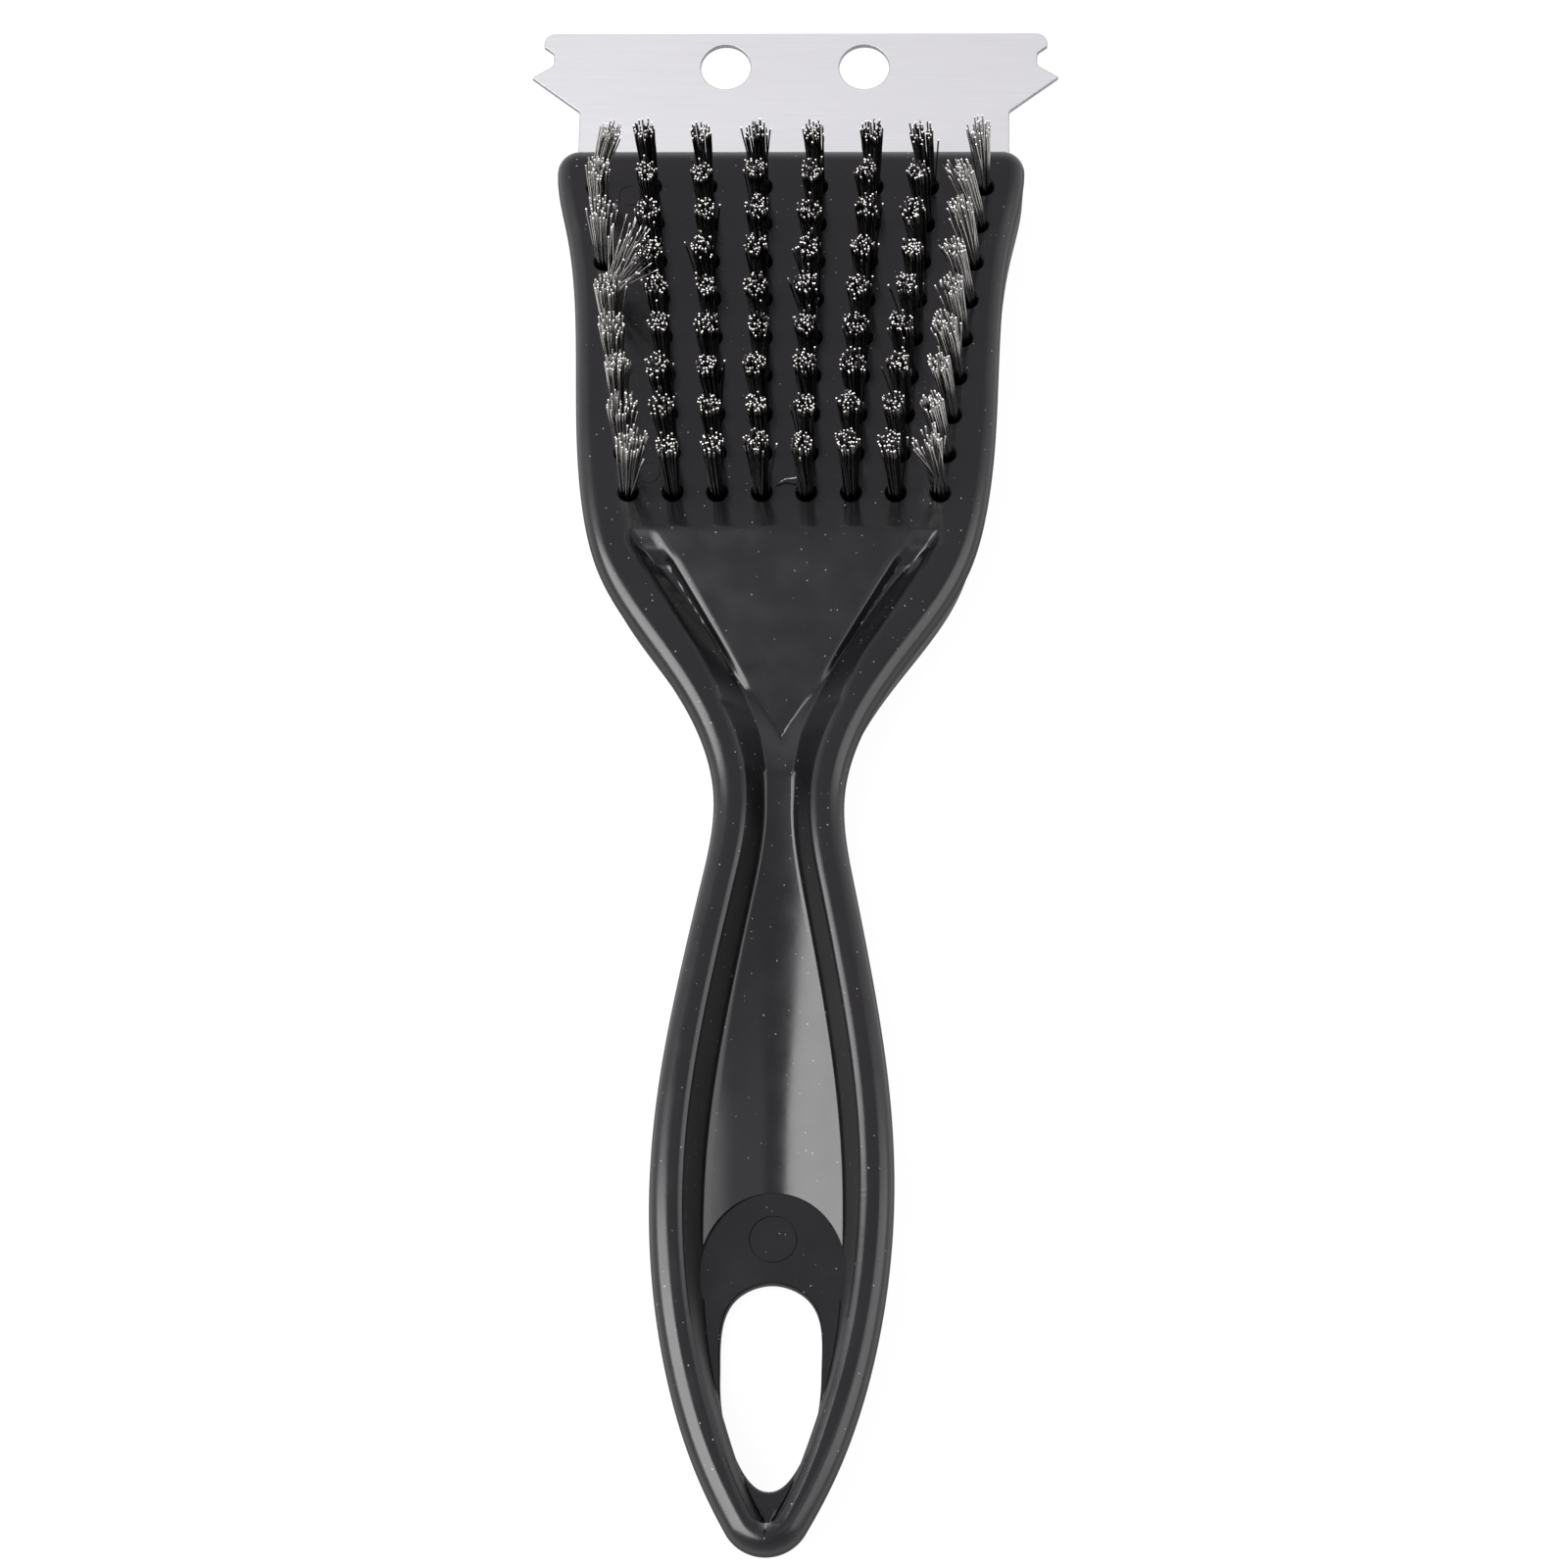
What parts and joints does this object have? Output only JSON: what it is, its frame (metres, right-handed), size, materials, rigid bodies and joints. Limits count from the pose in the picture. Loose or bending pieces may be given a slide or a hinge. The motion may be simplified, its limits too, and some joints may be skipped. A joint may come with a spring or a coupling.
{
  "type": "grill cleaning brush",
  "caption": "Hand brush for cleaning a barbecue grate: black moulded handle with a hang hole, rows of steel wire tufts, and a notched steel scraper on the front.",
  "frame": {"origin": "middle of the overall length and width, on the plane the back rests on", "axes": "+Z out of the bristle face, +Y along the brush towards the scraper, +X across the brush"},
  "size_m": [0.073, 0.2142, 0.0285],
  "materials": {
    "moulded_plastic": "injection-moulded polypropylene, satin to semi-gloss",
    "stainless_sheet": "stamped sheet, fine satin",
    "bristle_wire": "drawn and cut steel wire",
    "staple_steel": "cut flat wire",
    "screw_steel": "zinc-plated"
  },
  "bodies": {
    "root": {"handle": "moulded_plastic", "scraper": "stainless_sheet", "scraper_screws": "screw_steel", "tuft_row_1": "bristle_wire", "tuft_row_2": "bristle_wire", "tuft_row_3": "bristle_wire", "tuft_row_4": "bristle_wire", "tuft_row_5": "bristle_wire", "tuft_row_6": "bristle_wire", "tuft_row_7": "bristle_wire", "tuft_row_8": "bristle_wire", "tuft_row_9": "bristle_wire", "staple_row_1": "staple_steel", "staple_row_2": "staple_steel", "staple_row_3": "staple_steel", "staple_row_4": "staple_steel", "staple_row_5": "staple_steel", "staple_row_6": "staple_steel", "staple_row_7": "staple_steel", "staple_row_8": "staple_steel", "staple_row_9": "staple_steel"}
  },
  "joints": []
}
